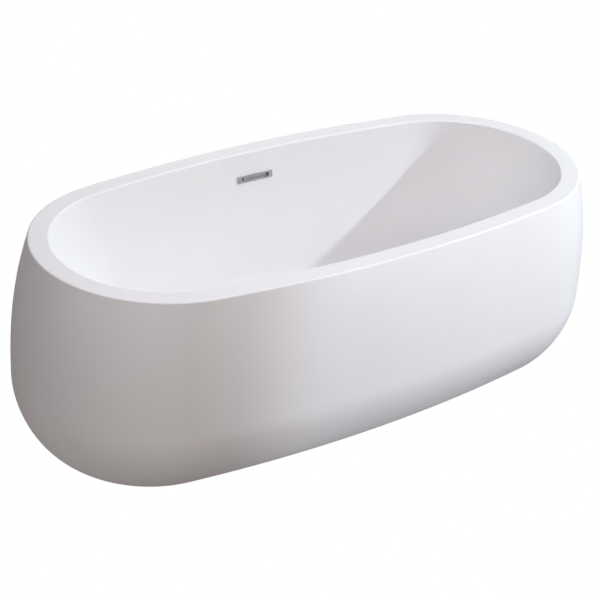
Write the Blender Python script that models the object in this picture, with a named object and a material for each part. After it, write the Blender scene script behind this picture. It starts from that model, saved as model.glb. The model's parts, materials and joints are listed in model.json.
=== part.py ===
"""A freestanding double-walled bathtub, modelled as its separate pieces.

Units are metres and +Z is up. The origin is on the floor under the middle of the tub. X runs along
the tub and +Y points to the long side that carries the overflow. Every piece is one closed body in
its own object. Pieces that touch in the real tub keep a gap of CLEAR.
"""

import math

import bmesh
import bpy
from mathutils import Vector

# ---- driving dimensions -------------------------------------------------------------------------
HEIGHT = 0.577               # floor to the top of the rim
RIM_HALF_LENGTH = 0.796      # outer edge of the rim, along X
RIM_HALF_WIDTH = 0.369       # outer edge of the rim, along Y
SIDE_BOW = 0.035             # how far the long sides bow out past straight
RIM_WIDTH = 0.051            # flat deck between the outer and the inner edge
EDGE = 0.004                 # rounding of both rim edges
BULGE_END, BULGE_SIDE = 0.054, 0.015      # outer wall past the rim, at its widest
BULGE_LEVEL = 0.357          # height of the widest section, as a share of the outer wall
UPPER_POWER, LOWER_POWER = 2.46, 1.75     # shape of the outer wall above and below that section
BASE_INSET_END, BASE_INSET_SIDE = 0.082, 0.117   # bottom edge inside the rim outline
FLOOR_GAP = 0.003            # bottom edge of the outer wall above the floor
CLEAR = 0.0003               # gap between touching pieces

SKIN = 0.007                 # shell thickness
LIP_DROP = 0.016             # turned-down lip of the basin
LIP_SKIN = 0.004             # thickness of that lip
FOOT_FLANGE = 0.025          # in-turned flange along the bottom edge of the outer wall

END_SLOPE, SIDE_SLOPE = math.atan(0.35), math.atan(0.15)   # lean of the inner walls from upright
FLOOR_Z = 0.145              # basin floor where it meets the walls
FLOOR_FALL = 0.005           # fall of the floor to the waste
FLOOR_FILLET = 0.100         # radius between floor and walls
SEAT_DEPTH = 0.003           # sunk seat for the waste flange
SEAT_RADIUS = 0.038
WASTE_HOLE = 0.0265
UNDERSIDE_Z = FLOOR_Z - FLOOR_FALL - SKIN

END_STEPS, SIDE_STEPS = 7, 5   # straight pieces in a quarter of the outline: end arc, side arc

# ---- support frame ------------------------------------------------------------------------------
BOARD_THICK = 0.015
BOARD_HALF_LENGTH, BOARD_HALF_WIDTH = 0.56, 0.20
BOARD_HOLE = 0.075
TUBE = 0.025                 # square tube, outside
TUBE_WALL = 0.0015
LONG_RAIL_Y = 0.11
LONG_RAIL_HALF = 0.52
CROSS_RAIL_X = (-0.46, -0.18, 0.18, 0.46)
CROSS_RAIL_HALF = 0.175
FOOT_X, FOOT_Y = 0.46, 0.155
STUD_RADIUS = 0.006          # M12
BOLT_RADIUS = 0.004          # M8
SCREW_RADIUS = 0.002
BOARD_SCREW_X = 0.35

BOARD_TOP = UNDERSIDE_Z - CLEAR
BOARD_BOTTOM = BOARD_TOP - BOARD_THICK
LONG_TOP = BOARD_BOTTOM - CLEAR
LONG_BOTTOM = LONG_TOP - TUBE
CROSS_TOP = LONG_BOTTOM - CLEAR
CROSS_BOTTOM = CROSS_TOP - TUBE

# ---- overflow -----------------------------------------------------------------------------------
OVERFLOW_Z = 0.504
COVER_HALF_LENGTH, COVER_HALF_HEIGHT = 0.056, 0.0092
COVER_BEVEL = 0.0008
OPENING_HALF_LENGTH, OPENING_HALF_HEIGHT = 0.043, 0.0052   # opening in the frame
PLATE_HALF_LENGTH = 0.037                      # sunk plate inside that opening
COVER_BACK, COVER_FRONT = -0.0012, -0.0052     # local Y, the wall face is 0 and -Y looks into the tub
WALL_SLOT_HALF_LENGTH, WALL_SLOT_HALF_HEIGHT = 0.048, 0.0045
GASKET_THICK = 0.002
HOUSING_HALF_LENGTH, HOUSING_HALF_HEIGHT, HOUSING_DEPTH = 0.058, 0.013, 0.026
HOUSING_WALL = 0.002
SPIGOT_RADIUS, SPIGOT_BORE = 0.012, 0.010
COVER_SCREW_X, COVER_SCREW_Z = 0.028, 0.0015   # in the overflow's own axes
COVER_SCREW_RADIUS = 0.002
PIPE_RADIUS, PIPE_BORE = 0.016, 0.0135
PIPE_SOCKET = PIPE_RADIUS + 0.0008             # bore of what the pipe goes through

# ---- waste and plug -----------------------------------------------------------------------------
TAIL_RADIUS, TAIL_BORE = 0.0235, 0.0190
TAIL_END = 0.085             # lower end of the flange's tail
FLANGE_RADIUS, FLANGE_THICK = 0.0355, 0.0025
TEE_AXIS_Z = 0.063
STRAINER_TOP = 0.109
PLUG_LIFT = 0.010            # the plug stands this far open at rest
SEAL_HEIGHT = 0.0022         # how far the plug's seal hangs below its cap
STEM_RADIUS = 0.0042
SPRING_RADIUS, SPRING_WIRE, SPRING_TURNS = 0.0062, 0.0007, 5

WHITE = (0.86, 0.86, 0.87, 1.0)
CHROME = (0.80, 0.80, 0.82, 1.0)
ZINC = (0.58, 0.60, 0.62, 1.0)
BLACK_RUBBER = (0.03, 0.03, 0.03, 1.0)
GREY_PLASTIC = (0.42, 0.43, 0.45, 1.0)
WOOD = (0.55, 0.42, 0.28, 1.0)


# ---- materials and meshes -----------------------------------------------------------------------
def finish(piece, colour, roughness, metallic=0.0):
    """Give a piece a material of its own."""
    material = bpy.data.materials.new(piece.name)
    material.use_nodes = True
    shader = material.node_tree.nodes["Principled BSDF"]
    shader.inputs["Base Color"].default_value = colour
    shader.inputs["Roughness"].default_value = roughness
    shader.inputs["Metallic"].default_value = metallic
    piece.data.materials.append(material)


def new_object(name, mesh, location=(0, 0, 0)):
    """Put a bmesh in the scene as a smooth-shaded object."""
    bmesh.ops.recalc_face_normals(mesh, faces=mesh.faces)
    data = bpy.data.meshes.new(name)
    mesh.to_mesh(data)
    mesh.free()
    data.shade_smooth()
    data.set_sharp_from_angle(angle=math.radians(35))
    piece = bpy.data.objects.new(name, data)
    piece.location = location
    bpy.context.scene.collection.objects.link(piece)
    return piece


def loft(name, rows, ring, location=(0, 0, 0)):
    """Skin a list of equal closed rows. A ring joins last to first, otherwise both ends are capped."""
    mesh = bmesh.new()
    loops = [[mesh.verts.new(point) for point in row] for row in rows]
    pairs = list(zip(loops, loops[1:]))
    if ring:
        pairs.append((loops[-1], loops[0]))
    else:
        mesh.faces.new(reversed(loops[0]))
        mesh.faces.new(loops[-1])
    for lower, upper in pairs:
        for i in range(len(lower)):
            j = (i + 1) % len(lower)
            mesh.faces.new((lower[i], lower[j], upper[j], upper[i]))
    return new_object(name, mesh, location)


def round_row(radius, z, steps):
    """A circle of points about the Z axis."""
    turn = 2 * math.pi / steps
    return [(radius * math.cos(turn * i), radius * math.sin(turn * i), z) for i in range(steps)]


def hex_row(across_flats, z, steps):
    """A hexagon of points about the Z axis. The number of steps is a multiple of 6."""
    row = []
    for i in range(steps):
        angle = 2 * math.pi * i / steps
        radius = across_flats / 2 / math.cos(angle % (math.pi / 3) - math.pi / 6)
        row.append((radius * math.cos(angle), radius * math.sin(angle), z))
    return row


def turned(name, profile, ring, location=(0, 0, 0), steps=24):
    """A turned piece from (radius, z) points."""
    return loft(name, [round_row(radius, z, steps) for radius, z in profile], ring, location)


def hex_bolt(name, location, head_flats, head_height, radius, length):
    """A bolt with its head below the location and its shank above it."""
    rows = [
        hex_row(head_flats, -head_height, 12),
        hex_row(head_flats, 0, 12),
        round_row(radius, 0, 12),
        round_row(radius, length, 12),
    ]
    return loft(name, rows, False, location)


def hex_nut(name, location, flats, height, bore, steps=12):
    """A nut that starts at the location and rises."""
    rows = [
        hex_row(flats, 0, steps),
        hex_row(flats, height, steps),
        round_row(bore, height, steps),
        round_row(bore, 0, steps),
    ]
    return loft(name, rows, True, location)


def box_row(half_x, half_y, z):
    """A rectangle of points at one height."""
    return [(half_x, half_y, z), (-half_x, half_y, z), (-half_x, -half_y, z), (half_x, -half_y, z)]


def hide(cutter):
    """Keep a cutting shape out of the finished tub."""
    cutter.hide_render = True
    cutter.display_type = "WIRE"
    return cutter


def combine(piece, tool, operation):
    """Cut a hidden shape from a piece, or join it on."""
    modifier = piece.modifiers.new(tool.name, "BOOLEAN")
    modifier.operation = operation
    modifier.solver = "EXACT"
    modifier.object = hide(tool)


def drill(piece, places, radius, bottom, top, steps=12):
    """Drill upright holes through a piece at (x, y) places."""
    for number, (x, y) in enumerate(places, 1):
        bit = turned(f"{piece.name}_bit_{number}", [(radius, bottom), (radius, top)], False, (x, y, 0), steps)
        combine(piece, bit, "DIFFERENCE")


# ---- tub outline and sections -------------------------------------------------------------------
def oval(half_length, half_width, z):
    """A four-arc oval at one height: a tight arc at each end, a flat arc along each side."""
    end_radius = half_width - SIDE_BOW
    centre = half_length - end_radius
    side_radius = (centre ** 2 + half_width ** 2 - end_radius ** 2) / (2 * SIDE_BOW)
    meet = math.atan2(side_radius - half_width, centre)
    quarter = []
    for k in range(END_STEPS + 1):
        angle = meet * k / END_STEPS
        quarter.append((centre + end_radius * math.cos(angle), end_radius * math.sin(angle)))
    for k in range(1, SIDE_STEPS + 1):
        angle = meet + (math.pi / 2 - meet) * k / SIDE_STEPS
        y = side_radius * math.sin(angle) - (side_radius - half_width)
        quarter.append((side_radius * math.cos(angle), y))
    quarter[-1] = (0.0, half_width)
    row = [(x, y, z) for x, y in quarter[:-1]]
    row += [(-x, y, z) for x, y in reversed(quarter[1:])]
    row += [(-x, -y, z) for x, y in quarter[:-1]]
    row += [(x, -y, z) for x, y in reversed(quarter[1:])]
    return row


ROW_STEPS = 4 * (END_STEPS + SIDE_STEPS)


def blend_rows(first, second, share):
    """A row part of the way from one row to another."""
    return [tuple(Vector(a).lerp(Vector(b), share)) for a, b in zip(first, second)]


def outer_offset(z, bulge, inset, bottom, back=0.0):
    """How far the outer wall stands out from the rim outline at a height."""
    level = bottom + BULGE_LEVEL * (HEIGHT - bottom)
    if z >= level:
        share = (z - level) / (HEIGHT - level)
        return bulge * (1 - share ** UPPER_POWER) - back
    share = (level - z) / (level - bottom)
    widest = bulge - back
    return -inset + (widest + inset) * max(0.0, 1 - share ** LOWER_POWER) ** (1 / LOWER_POWER)


def outer_row(z, back=0.0):
    """Section of the outer wall, or of the same wall set back."""
    end = outer_offset(z, BULGE_END, BASE_INSET_END, FLOOR_GAP) - back
    side = outer_offset(z, BULGE_SIDE, BASE_INSET_SIDE, FLOOR_GAP) - back
    return oval(RIM_HALF_LENGTH + end, RIM_HALF_WIDTH + side, z)


def skirt_inside_row(z):
    """Section of the inner face of the outer wall."""
    bottom = FLOOR_GAP + SKIN
    end = outer_offset(z, BULGE_END, BASE_INSET_END + SKIN / 2, bottom, SKIN)
    side = outer_offset(z, BULGE_SIDE, BASE_INSET_SIDE + SKIN / 2, bottom, SKIN)
    return oval(RIM_HALF_LENGTH + end, RIM_HALF_WIDTH + side, z)


def wall_inset(z, slope, skin, floor, fillet):
    """How far the basin wall is inside the rim's inner edge at a height."""
    centre_z = floor + fillet
    tangent_z = centre_z - fillet * math.sin(slope)
    if z >= tangent_z:
        return math.tan(slope) * (HEIGHT - z) - skin / math.cos(slope)
    centre = math.tan(slope) * (HEIGHT - tangent_z) - skin / math.cos(slope) + fillet * math.cos(slope)
    return centre - math.sqrt(max(0.0, fillet ** 2 - (centre_z - z) ** 2))


def basin_row(z, skin=0.0, floor=FLOOR_Z, fillet=FLOOR_FILLET):
    """Section of the basin's inner face, or of its outer face when it has a skin."""
    end = wall_inset(z, END_SLOPE, skin, floor, fillet)
    side = wall_inset(z, SIDE_SLOPE, skin, floor, fillet)
    return oval(RIM_HALF_LENGTH - RIM_WIDTH - end, RIM_HALF_WIDTH - RIM_WIDTH - side, z)


def rim_row(inset, z):
    """An oval inside the rim's outer edge."""
    return oval(RIM_HALF_LENGTH - inset, RIM_HALF_WIDTH - inset, z)


def fillet_heights(floor, fillet, degrees):
    """Heights on a fillet, from angles measured up from its foot."""
    return [floor + fillet * (1 - math.cos(math.radians(angle))) for angle in degrees]


# ---- shells -------------------------------------------------------------------------------------
def inner_basin():
    """Basin, flat rim deck and turned-down lip in one sheet, with the waste hole and overflow slot."""
    rows = [outer_row(HEIGHT - LIP_DROP), outer_row(HEIGHT - EDGE)]
    for degrees in (45, 90):
        angle = math.radians(degrees)
        rows.append(rim_row(EDGE * (1 - math.cos(angle)), HEIGHT - EDGE * (1 - math.sin(angle))))
    for degrees in (0, 45):
        angle = math.radians(degrees)
        inset = RIM_WIDTH - EDGE * (1 - math.sin(angle))
        rows.append(rim_row(inset, HEIGHT - EDGE * (1 - math.cos(angle))))
    wall = [HEIGHT - EDGE, 0.45, 0.34]
    rows += [basin_row(z) for z in wall + fillet_heights(FLOOR_Z, FLOOR_FILLET, (78, 64, 50, 36, 22, 10, 0))]
    dish_z = FLOOR_Z - FLOOR_FALL
    dish = round_row(SEAT_RADIUS + 0.004, dish_z, ROW_STEPS)
    rows.append(blend_rows(rows[-1], dish, 0.6))
    rows.append(dish)
    rows.append(round_row(SEAT_RADIUS, dish_z - SEAT_DEPTH, ROW_STEPS))
    rows.append(round_row(WASTE_HOLE, dish_z - SEAT_DEPTH, ROW_STEPS))
    rows.append(round_row(WASTE_HOLE, UNDERSIDE_Z, ROW_STEPS))
    outside = FLOOR_FILLET + SKIN
    for z in fillet_heights(UNDERSIDE_Z, outside, (0, 25, 45, 65)) + [0.34, HEIGHT - SKIN]:
        rows.append(basin_row(z, SKIN, UNDERSIDE_Z, outside))
    rows.append(outer_row(HEIGHT - SKIN, LIP_SKIN))
    rows.append(outer_row(HEIGHT - LIP_DROP, LIP_SKIN))
    piece = loft("inner_basin", rows, True)
    heights = (-WALL_SLOT_HALF_HEIGHT, WALL_SLOT_HALF_HEIGHT)
    slot = loft("overflow_cut", [box_row(WALL_SLOT_HALF_LENGTH, 0.030, z) for z in heights], False)
    slot.location = OVERFLOW_POINT
    slot.rotation_euler = OVERFLOW_TILT
    combine(piece, slot, "DIFFERENCE")
    finish(piece, WHITE, 0.35)


def outer_skirt():
    """Outer wall from under the lip to the in-turned flange near the floor."""
    top = HEIGHT - LIP_DROP - CLEAR
    tongue = HEIGHT - SKIN - CLEAR
    level = FLOOR_GAP + BULGE_LEVEL * (HEIGHT - FLOOR_GAP)
    rows = [outer_row(top + (level - top) * k / 4) for k in range(4)]
    for k in range(8):
        share = math.sin(math.pi / 2 * k / 7) ** (2 / LOWER_POWER)
        rows.append(outer_row(level - (level - FLOOR_GAP) * share))
    flange = FOOT_FLANGE
    for z in (FLOOR_GAP, FLOOR_GAP + SKIN):
        end = RIM_HALF_LENGTH - BASE_INSET_END - flange
        rows.append(oval(end, RIM_HALF_WIDTH - BASE_INSET_SIDE - flange, z))
    bottom = FLOOR_GAP + SKIN
    level = bottom + BULGE_LEVEL * (HEIGHT - bottom)
    for k in range(5, -1, -1):
        share = math.sin(math.pi / 2 * k / 5) ** (2 / LOWER_POWER)
        rows.append(skirt_inside_row(level - (level - bottom) * share))
    rows += [skirt_inside_row(z) for z in (0.33, 0.45)]
    rows.append(outer_row(tongue, SKIN))
    rows.append(outer_row(tongue, LIP_SKIN + CLEAR))
    rows.append(outer_row(top, LIP_SKIN + CLEAR))
    finish(loft("outer_skirt", rows, True), WHITE, 0.35)


def floor_board():
    """Board under the basin floor that spreads the load over the rails."""
    half = (BOARD_HALF_LENGTH, BOARD_HALF_WIDTH)
    rows = [
        oval(*half, BOARD_BOTTOM),
        oval(*half, BOARD_TOP),
        round_row(BOARD_HOLE, BOARD_TOP, ROW_STEPS),
        round_row(BOARD_HOLE, BOARD_BOTTOM, ROW_STEPS),
    ]
    piece = loft("floor_board", rows, True)
    drill(piece, board_screw_places(), SCREW_RADIUS + CLEAR, BOARD_BOTTOM - 0.01, BOARD_BOTTOM + 0.0115, 8)
    finish(piece, WOOD, 0.8)


# ---- support frame ------------------------------------------------------------------------------
def corners():
    """The four sign pairs, in a fixed order."""
    return [(a, b) for a in (-1, 1) for b in (-1, 1)]


def board_screw_places():
    return [(BOARD_SCREW_X * a, LONG_RAIL_Y * b) for a, b in corners()]


def rail_bolt_places():
    return [(x, LONG_RAIL_Y * side) for x in CROSS_RAIL_X for side in (-1, 1)]


def foot_places():
    return [(FOOT_X * a, FOOT_Y * b) for a, b in corners()]


def square_tube(name, half_length, along_x, location):
    """A square tube with open ends, centred on its location."""
    half, bore = TUBE / 2, TUBE / 2 - TUBE_WALL
    rows = []
    for size, end in ((half, -half_length), (half, half_length), (bore, half_length), (bore, -half_length)):
        square = [(size, size), (-size, size), (-size, -size), (size, -size)]
        if along_x:
            rows.append([(end, across, up) for across, up in square])
        else:
            rows.append([(across, end, up) for across, up in square])
    return loft(name, rows, True, location)


def long_rails():
    middle = (LONG_TOP + LONG_BOTTOM) / 2
    for side, name in ((-1, "front_long_rail"), (1, "back_long_rail")):
        piece = square_tube(name, LONG_RAIL_HALF, True, (0, LONG_RAIL_Y * side, middle))
        bolts = [(x, y) for x, y in rail_bolt_places() if y * side > 0]
        drill(piece, bolts, BOLT_RADIUS + CLEAR, LONG_BOTTOM - 0.01, middle)
        screws = [(x, y) for x, y in board_screw_places() if y * side > 0]
        drill(piece, screws, SCREW_RADIUS + CLEAR, LONG_BOTTOM - 0.01, LONG_TOP + 0.01, 8)
        finish(piece, ZINC, 0.45, 0.9)


def cross_rails():
    middle = (CROSS_TOP + CROSS_BOTTOM) / 2
    names = ("left_cross_rail", "left_inner_cross_rail", "right_inner_cross_rail", "right_cross_rail")
    for x, name in zip(CROSS_RAIL_X, names):
        piece = square_tube(name, CROSS_RAIL_HALF, False, (x, 0, middle))
        bolts = [place for place in rail_bolt_places() if place[0] == x]
        drill(piece, bolts, BOLT_RADIUS + CLEAR, CROSS_BOTTOM - 0.01, CROSS_TOP + 0.01)
        studs = [place for place in foot_places() if place[0] == x]
        drill(piece, studs, STUD_RADIUS + CLEAR, CROSS_BOTTOM - 0.01, middle)
        finish(piece, ZINC, 0.45, 0.9)


def frame_fasteners():
    for number, (x, y) in enumerate(rail_bolt_places(), 1):
        place = (x, y, CROSS_BOTTOM - CLEAR)
        finish(hex_bolt(f"rail_bolt_{number}", place, 0.013, 0.0053, BOLT_RADIUS, 0.043), ZINC, 0.4, 0.9)
    for number, (x, y) in enumerate(board_screw_places(), 1):
        place = (x, y, LONG_BOTTOM - CLEAR)
        finish(hex_bolt(f"board_screw_{number}", place, 0.008, 0.003, SCREW_RADIUS, 0.036), ZINC, 0.4, 0.9)


def levelling_feet():
    """Four screw feet: a pad, a threaded stud in it and a lock nut under the cross rail."""
    pad = [(0.0245, 0.0), (0.025, 0.0008), (0.025, 0.005), (0.014, 0.009), (0.0105, 0.016)]
    pad += [(STUD_RADIUS + CLEAR, 0.016), (STUD_RADIUS + CLEAR, 0.006)]
    for number, (x, y) in enumerate(foot_places(), 1):
        finish(turned(f"foot_pad_{number}", pad, False, (x, y, 0), 20), BLACK_RUBBER, 0.7)
        stud = [(STUD_RADIUS, 0.006 + CLEAR), (STUD_RADIUS, 0.085)]
        finish(turned(f"foot_stud_{number}", stud, False, (x, y, 0), 12), ZINC, 0.35, 0.9)
        nut_place = (x, y, CROSS_BOTTOM - CLEAR - 0.010)
        finish(hex_nut(f"foot_nut_{number}", nut_place, 0.019, 0.010, STUD_RADIUS + CLEAR), ZINC, 0.4, 0.9)


# ---- overflow -----------------------------------------------------------------------------------
OVERFLOW_POINT = Vector((0, RIM_HALF_WIDTH - RIM_WIDTH - math.tan(SIDE_SLOPE) * (HEIGHT - OVERFLOW_Z), OVERFLOW_Z))
OVERFLOW_TILT = (-SIDE_SLOPE, 0, 0)


def on_wall(piece):
    """Place a piece at the overflow, with local -Y looking square out of the wall into the tub."""
    piece.location = OVERFLOW_POINT
    piece.rotation_euler = OVERFLOW_TILT
    return piece


def plate_row(half_length, half_height, y):
    """A rectangle that faces along Y."""
    return [
        (half_length, y, half_height),
        (-half_length, y, half_height),
        (-half_length, y, -half_height),
        (half_length, y, -half_height),
    ]


def overflow_frame():
    """Slim rectangular frame with a bevelled outer edge."""
    rows = [
        plate_row(COVER_HALF_LENGTH, COVER_HALF_HEIGHT, COVER_BACK),
        plate_row(COVER_HALF_LENGTH, COVER_HALF_HEIGHT, COVER_FRONT + COVER_BEVEL),
        plate_row(COVER_HALF_LENGTH - COVER_BEVEL, COVER_HALF_HEIGHT - COVER_BEVEL, COVER_FRONT),
        plate_row(OPENING_HALF_LENGTH, OPENING_HALF_HEIGHT, COVER_FRONT),
        plate_row(OPENING_HALF_LENGTH, OPENING_HALF_HEIGHT, COVER_BACK),
    ]
    finish(on_wall(loft("overflow_frame", rows, True)), CHROME, 0.15, 1.0)


def overflow_plate():
    """Sunk plate that leaves a slot below it and a gap at each end."""
    low, high = -0.0010, OPENING_HALF_HEIGHT - CLEAR
    middle, half = (low + high) / 2, (high - low) / 2
    rows = [plate_row(PLATE_HALF_LENGTH, half, y) for y in (COVER_BACK, COVER_FRONT + 0.0018)]
    rows = [[(x, y, z + middle) for x, y, z in row] for row in rows]
    finish(on_wall(loft("overflow_plate", rows, False)), CHROME, 0.25, 1.0)


def overflow_gasket():
    """Flat seal between the wall's back and the housing."""
    rows = [
        plate_row(0.060, 0.015, GASKET_FRONT),
        plate_row(0.060, 0.015, GASKET_FRONT + GASKET_THICK),
        plate_row(0.050, 0.006, GASKET_FRONT + GASKET_THICK),
        plate_row(0.050, 0.006, GASKET_FRONT),
    ]
    finish(on_wall(loft("overflow_gasket", rows, True)), BLACK_RUBBER, 0.7)


GASKET_FRONT = SKIN + 0.0012
HOUSING_FRONT = GASKET_FRONT + GASKET_THICK + CLEAR
HOUSING_BACK = HOUSING_FRONT + HOUSING_DEPTH
SPIGOT = OVERFLOW_POINT + Vector((0, 0.0245, 0))      # axis of the upright outlet


def overflow_housing():
    """Open-fronted chamber behind the wall, with an upright outlet underneath."""
    inside = (HOUSING_HALF_LENGTH - HOUSING_WALL, HOUSING_HALF_HEIGHT - HOUSING_WALL)
    rows = [
        plate_row(*inside, HOUSING_BACK - HOUSING_WALL),
        plate_row(*inside, HOUSING_FRONT),
        plate_row(HOUSING_HALF_LENGTH, HOUSING_HALF_HEIGHT, HOUSING_FRONT),
        plate_row(HOUSING_HALF_LENGTH, HOUSING_HALF_HEIGHT, HOUSING_BACK),
    ]
    piece = on_wall(loft("overflow_housing", rows, False))
    outlet = turned("housing_outlet", [(SPIGOT_RADIUS, -0.034), (SPIGOT_RADIUS, -0.011)], False, SPIGOT, 16)
    combine(piece, outlet, "UNION")
    bore = turned("housing_bore", [(SPIGOT_BORE, -0.04), (SPIGOT_BORE, 0.0)], False, SPIGOT, 16)
    combine(piece, bore, "DIFFERENCE")
    hole = COVER_SCREW_RADIUS + CLEAR
    for side in (-1, 1):
        bit = along_y(f"housing_bit_{side}", [(hole, HOUSING_BACK - 0.01), (hole, HOUSING_BACK + 0.01)], 8)
        combine(piece, at_cover_screw(bit, side), "DIFFERENCE")
    finish(piece, GREY_PLASTIC, 0.5)


def turn_local(vector):
    """Turn a vector from the overflow's tilted axes to the tub's axes."""
    x, y, z = vector
    c, s = math.cos(OVERFLOW_TILT[0]), math.sin(OVERFLOW_TILT[0])
    return Vector((x, y * c - z * s, y * s + z * c))


def at_cover_screw(piece, side):
    """Place a piece on the axis of the left (-1) or right (1) overflow screw."""
    piece.location = OVERFLOW_POINT + turn_local((COVER_SCREW_X * side, 0, COVER_SCREW_Z))
    piece.rotation_euler = OVERFLOW_TILT
    return piece


def along_y(name, profile, steps, ring=False):
    """A turned piece about local Y, from (radius, y) points."""
    rows = []
    for radius, y in profile:
        rows.append([(a, y, b) for a, b, _ in round_row(radius, 0, steps)])
    return loft(name, rows, ring)


def overflow_screws():
    """Two screws that draw the plate and the housing together."""
    head = HOUSING_BACK + CLEAR
    shank = COVER_SCREW_RADIUS
    shape = [(shank, COVER_BACK + CLEAR), (shank, head), (0.0038, head), (0.0038, head + 0.0025)]
    for side, name in ((-1, "left_overflow_screw"), (1, "right_overflow_screw")):
        finish(at_cover_screw(along_y(name, shape, 10), side), ZINC, 0.35, 0.9)


def spline_points(route, per_span):
    """A smooth Catmull-Rom curve through route points."""
    points = [Vector(p) for p in route]
    padded = [2 * points[0] - points[1]] + points + [2 * points[-1] - points[-2]]
    result = []
    for i in range(1, len(padded) - 2):
        a, b, c, d = padded[i - 1:i + 3]
        for k in range(per_span):
            t = k / per_span
            result.append(0.5 * (2 * b + (c - a) * t + (2 * a - 5 * b + 4 * c - d) * t * t
                                 + (3 * b - a - 3 * c + d) * t ** 3))
    result.append(points[-1])
    return result


def overflow_pipe():
    """Pipe from the housing down between the walls, under the rail and into the tee."""
    top = SPIGOT.z - 0.0195
    route = [
        (0, SPIGOT.y, top), (0, SPIGOT.y, top - 0.05), (0, SPIGOT.y - 0.003, 0.34), (0, 0.316, 0.22),
        (0, 0.286, 0.128), (0, 0.228, 0.078), (0, 0.150, TEE_AXIS_Z), (0, 0.095, TEE_AXIS_Z),
        (0, 0.044, TEE_AXIS_Z),
    ]
    centres = spline_points(route, 2)
    rows_out, rows_in = [], []
    steps = 12
    for i, centre in enumerate(centres):
        before, after = centres[max(i - 1, 0)], centres[min(i + 1, len(centres) - 1)]
        ahead = (after - before).normalized()
        if i == 0:
            ahead = Vector((0, 0, -1))
        across = Vector((1, 0, 0))
        up = ahead.cross(across)
        for rows, radius in ((rows_out, PIPE_RADIUS), (rows_in, PIPE_BORE)):
            ring = round_row(radius, 0, steps)
            rows.append([tuple(centre + across * a + up * b) for a, b, _ in ring])
    finish(loft("overflow_pipe", rows_out + rows_in[::-1], True), GREY_PLASTIC, 0.55)


def pipe_nuts():
    """Union nuts at the two ends of the overflow pipe."""
    top = [(0.0190, 0.0), (0.0190, 0.016), (PIPE_SOCKET, 0.016), (PIPE_SOCKET, 0.0)]
    place = (0, SPIGOT.y, SPIGOT.z - 0.037)
    finish(turned("upper_pipe_nut", top, True, place, 16), GREY_PLASTIC, 0.4)
    low = [(0.0235, 0.0625), (0.0235, 0.078), (PIPE_SOCKET, 0.078), (PIPE_SOCKET, 0.0625)]
    piece = along_y("lower_pipe_nut", low, 16, True)
    piece.location = (0, 0, TEE_AXIS_Z)
    finish(piece, GREY_PLASTIC, 0.4)


# ---- waste --------------------------------------------------------------------------------------
SEAT_Z = FLOOR_Z - FLOOR_FALL - SEAT_DEPTH
FLANGE_LOW = SEAT_Z + 0.0020     # the seal is between the seat and the flange
FLANGE_TOP = FLANGE_LOW + FLANGE_THICK


def waste_flange():
    """Chromed flange on the floor of the tub with a threaded tail through it."""
    profile = [
        (FLANGE_RADIUS, FLANGE_LOW), (FLANGE_RADIUS, FLANGE_TOP - 0.001), (FLANGE_RADIUS - 0.001, FLANGE_TOP),
        (0.0250, FLANGE_TOP), (TAIL_BORE, FLANGE_TOP - 0.003), (TAIL_BORE, TAIL_END),
        (TAIL_RADIUS, TAIL_END), (TAIL_RADIUS, FLANGE_LOW),
    ]
    finish(turned("waste_flange", profile, True), CHROME, 0.12, 1.0)


def ring(name, inner, outer, low, high, colour, roughness, steps=24):
    """A flat ring."""
    profile = [(outer, low), (outer, high), (inner, high), (inner, low)]
    finish(turned(name, profile, True, steps=steps), colour, roughness)


def waste_seals():
    ring("waste_upper_gasket", 0.0270, 0.0345, SEAT_Z + CLEAR, FLANGE_LOW - CLEAR, BLACK_RUBBER, 0.7)
    low = UNDERSIDE_Z - CLEAR - 0.003
    ring("waste_lower_gasket", 0.0245, 0.0380, low, UNDERSIDE_Z - CLEAR, BLACK_RUBBER, 0.7)


def waste_lock_nut():
    place = (0, 0, UNDERSIDE_Z - 0.0125)
    finish(hex_nut("waste_lock_nut", place, 0.076, 0.0085, TAIL_RADIUS + CLEAR, 24), GREY_PLASTIC, 0.45)


def strainer_disc():
    """Perforated disc inside the tail that guides the plug's stem and carries its spring."""
    bottom, outer, inner = STRAINER_TOP - 0.004, TAIL_BORE - 0.0005, STEM_RADIUS + 0.0004
    profile = [(outer, bottom), (outer, STRAINER_TOP), (inner, STRAINER_TOP), (inner, bottom)]
    piece = turned("strainer_disc", profile, True)
    places = []
    for number in range(6):
        angle = math.pi / 3 * number + 0.05
        places.append((0.0118 * math.cos(angle), 0.0118 * math.sin(angle)))
    drill(piece, places, 0.0038, bottom - 0.01, STRAINER_TOP + 0.01, 9)
    finish(piece, CHROME, 0.3, 1.0)


def waste_tee():
    """Body under the tub: socket for the tail, side inlet for the overflow, outlet below."""
    profile = [
        (0.0290, 0.1190), (0.0240, 0.1190), (0.0240, 0.0840), (0.0205, 0.0840), (0.0205, 0.0500),
        (0.0175, 0.0440), (0.0175, 0.0300), (0.0200, 0.0300), (0.0200, 0.0430), (0.0235, 0.0470),
        (0.0235, 0.0820), (0.0290, 0.0880),
    ]
    piece = turned("waste_tee", profile, True)
    inlet = along_y("tee_inlet", [(0.0195, 0.0215), (0.0195, 0.0620)], 16)
    inlet.location = (0, 0, TEE_AXIS_Z)
    combine(piece, inlet, "UNION")
    bore = along_y("tee_bore", [(PIPE_SOCKET, 0.010), (PIPE_SOCKET, 0.070)], 16)
    bore.location = (0, 0, TEE_AXIS_Z)
    combine(piece, bore, "DIFFERENCE")
    finish(piece, GREY_PLASTIC, 0.45)


def waste_outlet():
    ring("waste_outlet_nut", 0.0203, 0.0270, 0.0270, 0.0410, GREY_PLASTIC, 0.45)
    ring("waste_tailpiece", 0.0148, 0.0172, 0.0120, 0.0400, GREY_PLASTIC, 0.45)


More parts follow.
